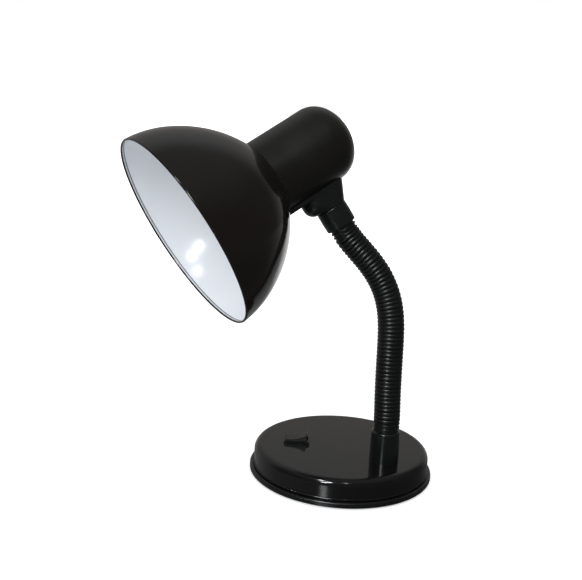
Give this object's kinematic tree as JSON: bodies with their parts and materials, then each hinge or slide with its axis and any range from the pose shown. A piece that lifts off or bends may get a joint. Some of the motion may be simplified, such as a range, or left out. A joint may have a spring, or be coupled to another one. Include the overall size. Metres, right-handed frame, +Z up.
{
  "type": "desk lamp",
  "caption": "Gooseneck desk lamp: round weighted base with a rocker switch, ribbed flexible neck, cylindrical lampholder housing and domed shade.",
  "frame": {"origin": "centre of the foot pad's underside, on the floor", "axes": "+Z up, -Y to the front, where the switch is and where the neck leans; the neck bends forward in a plane parallel to YZ"},
  "size_m": [0.218, 0.2524, 0.2973],
  "materials": {
    "foam": "matt",
    "base_plastic": "satin",
    "iron": "rough",
    "black_paint": "gloss",
    "steel": "satin",
    "switch_plastic": "satin",
    "brass": "polished",
    "rocker_plastic": "satin",
    "grommet_rubber": "matt",
    "lead_sleeve": "satin",
    "trim_plastic": "gloss",
    "neck_black": "satin",
    "washer_plastic": "matt",
    "housing_plastic": "gloss",
    "holder_plastic": "satin",
    "ceramic": "matt"
  },
  "bodies": {
    "base": {"foot_pad": "foam", "base_tray": "base_plastic", "ballast_weight": "iron", "base_cover": "black_paint", "tray_screws": "steel", "switch_body": "switch_plastic", "switch_terminals": "brass", "cord_grommet": "grommet_rubber", "cord_clamp": "base_plastic", "clamp_screws": "steel", "base_leads": "lead_sleeve", "neck_boot": "trim_plastic", "neck_base_end": "neck_black", "base_washer": "steel", "base_nut": "steel"},
    "rocker": {"switch_rocker": "rocker_plastic"},
    "link_01": {"neck_link_01": "neck_black"},
    "link_02": {"neck_link_02": "neck_black"},
    "link_03": {"neck_link_03": "neck_black"},
    "link_04": {"neck_link_04": "neck_black"},
    "link_05": {"neck_link_05": "neck_black"},
    "link_06": {"neck_link_06": "neck_black"},
    "link_07": {"neck_link_07": "neck_black"},
    "link_08": {"neck_link_08": "neck_black"},
    "link_09": {"neck_link_09": "neck_black"},
    "link_10": {"neck_link_10": "neck_black"},
    "link_11": {"neck_link_11": "neck_black"},
    "link_12": {"neck_link_12": "neck_black"},
    "link_13": {"neck_link_13": "neck_black"},
    "link_14": {"neck_link_14": "neck_black"},
    "link_15": {"neck_link_15": "neck_black"},
    "link_16": {"neck_link_16": "neck_black"},
    "link_17": {"neck_link_17": "neck_black"},
    "link_18": {"neck_link_18": "neck_black"},
    "link_19": {"neck_link_19": "neck_black"},
    "link_20": {"neck_link_20": "neck_black"},
    "link_21": {"neck_link_21": "neck_black"},
    "link_22": {"neck_link_22": "neck_black"},
    "link_23": {"neck_link_23": "neck_black"},
    "link_24": {"neck_link_24": "neck_black"},
    "collar": {"neck_head_end": "neck_black", "neck_collar": "trim_plastic", "friction_disc": "washer_plastic", "swivel_washer": "steel", "swivel_nut": "steel"},
    "head": {"saddle_cup": "trim_plastic", "housing": "housing_plastic", "holder_bracket": "steel", "bracket_screws": "steel", "lampholder_cap": "holder_plastic", "lampholder_skirt": "holder_plastic", "contact_carrier": "ceramic", "screw_shell": "brass", "centre_contact": "brass", "terminal_screws": "brass", "head_leads": "lead_sleeve", "shade_ring": "holder_plastic", "shade": "black_paint"}
  },
  "joints": [
    {"name": "base_rocker", "type": "hinge", "parent": "base", "child": "rocker", "pos_m": [0, -0.037, 0.02346], "axis": [1, 0, 0], "range_deg": [-24, 0]},
    {"name": "neck_01", "type": "hinge", "parent": "base", "child": "link_01", "pos_m": [0.02519, 0.03433, 0.05916], "axis": [1, 0, 0], "range_deg": [-13.6, 8.4]},
    {"name": "neck_02", "type": "hinge", "parent": "link_01", "child": "link_02", "pos_m": [0.02519, 0.03404, 0.06555], "axis": [0, 0.999, 0.0454], "range_deg": [-11, 11]},
    {"name": "neck_03", "type": "hinge", "parent": "link_02", "child": "link_03", "pos_m": [0.02519, 0.03375, 0.07195], "axis": [1, 0, 0], "range_deg": [-10.6, 11.4]},
    {"name": "neck_04", "type": "hinge", "parent": "link_03", "child": "link_04", "pos_m": [0.02519, 0.0335, 0.07834], "axis": [0, 0.9993, 0.0384], "range_deg": [-11, 11]},
    {"name": "neck_05", "type": "hinge", "parent": "link_04", "child": "link_05", "pos_m": [0.02519, 0.03326, 0.08474], "axis": [1, 0, 0], "range_deg": [-10.1, 11.9]},
    {"name": "neck_06", "type": "hinge", "parent": "link_05", "child": "link_06", "pos_m": [0.02519, 0.03311, 0.09114], "axis": [0, 0.9997, 0.0227], "range_deg": [-11, 11]},
    {"name": "neck_07", "type": "hinge", "parent": "link_06", "child": "link_07", "pos_m": [0.02519, 0.03297, 0.09753], "axis": [1, 0, 0], "range_deg": [-10.6, 11.4]},
    {"name": "neck_08", "type": "hinge", "parent": "link_07", "child": "link_08", "pos_m": [0.02519, 0.03287, 0.10393], "axis": [0, 0.9999, 0.0157], "range_deg": [-11, 11]},
    {"name": "neck_09", "type": "hinge", "parent": "link_08", "child": "link_09", "pos_m": [0.02519, 0.03277, 0.11033], "axis": [1, 0, 0], "range_deg": [-11.2, 10.8]},
    {"name": "neck_10", "type": "hinge", "parent": "link_09", "child": "link_10", "pos_m": [0.02519, 0.03264, 0.11673], "axis": [0, 0.9998, 0.0192], "range_deg": [-11, 11]},
    {"name": "neck_11", "type": "hinge", "parent": "link_10", "child": "link_11", "pos_m": [0.02519, 0.03252, 0.12313], "axis": [1, 0, 0], "range_deg": [-13, 9]},
    {"name": "neck_12", "type": "hinge", "parent": "link_11", "child": "link_12", "pos_m": [0.02519, 0.03217, 0.12952], "axis": [0, 0.9985, 0.0541], "range_deg": [-11, 11]},
    {"name": "neck_13", "type": "hinge", "parent": "link_12", "child": "link_13", "pos_m": [0.02519, 0.03183, 0.13591], "axis": [-1, 0, 0], "range_deg": [-5.5, 16.5]},
    {"name": "neck_14", "type": "hinge", "parent": "link_13", "child": "link_14", "pos_m": [0.02519, 0.03087, 0.14224], "axis": [0, -0.9888, -0.1495], "range_deg": [-11, 11]},
    {"name": "neck_15", "type": "hinge", "parent": "link_14", "child": "link_15", "pos_m": [0.02519, 0.02991, 0.14857], "axis": [-1, 0, 0], "range_deg": [-2.2, 19.8]},
    {"name": "neck_16", "type": "hinge", "parent": "link_15", "child": "link_16", "pos_m": [0.02519, 0.028, 0.15467], "axis": [0, -0.9542, -0.299], "range_deg": [-11, 11]},
    {"name": "neck_17", "type": "hinge", "parent": "link_16", "child": "link_17", "pos_m": [0.02519, 0.02609, 0.16078], "axis": [-1, 0, 0], "range_deg": [-0.8, 21.2]},
    {"name": "neck_18", "type": "hinge", "parent": "link_17", "child": "link_18", "pos_m": [0.02519, 0.02312, 0.16645], "axis": [0, -0.8862, -0.4633], "range_deg": [-11, 11]},
    {"name": "neck_19", "type": "hinge", "parent": "link_18", "child": "link_19", "pos_m": [0.02519, 0.02016, 0.17213], "axis": [-1, 0, 0], "range_deg": [-1.4, 20.6]},
    {"name": "neck_20", "type": "hinge", "parent": "link_19", "child": "link_20", "pos_m": [0.02519, 0.01629, 0.17722], "axis": [0, -0.7965, -0.6046], "range_deg": [-11, 11]},
    {"name": "neck_21", "type": "hinge", "parent": "link_20", "child": "link_21", "pos_m": [0.02519, 0.01242, 0.18232], "axis": [-1, 0, 0], "range_deg": [-4.5, 17.5]},
    {"name": "neck_22", "type": "hinge", "parent": "link_21", "child": "link_22", "pos_m": [0.02519, 0.008, 0.18695], "axis": [0, -0.723, -0.6909], "range_deg": [-11, 11]},
    {"name": "neck_23", "type": "hinge", "parent": "link_22", "child": "link_23", "pos_m": [0.02519, 0.00357, 0.19157], "axis": [-1, 0, 0], "range_deg": [-10.9, 11.1]},
    {"name": "neck_24", "type": "hinge", "parent": "link_23", "child": "link_24", "pos_m": [0.02519, -0.00086, 0.19619], "axis": [0, -0.7218, -0.6921], "range_deg": [-11, 11]},
    {"name": "neck_25", "type": "hinge", "parent": "link_24", "child": "collar", "pos_m": [0.02519, -0.00528, 0.20081], "axis": [-1, 0, 0], "range_deg": [-20.3, 1.7]},
    {"name": "head_swivel", "type": "hinge", "parent": "collar", "child": "head", "pos_m": [0.02519, -0.02035, 0.22273], "axis": [0, -0.5664, 0.8241], "range_deg": [-150, 150]}
  ]
}
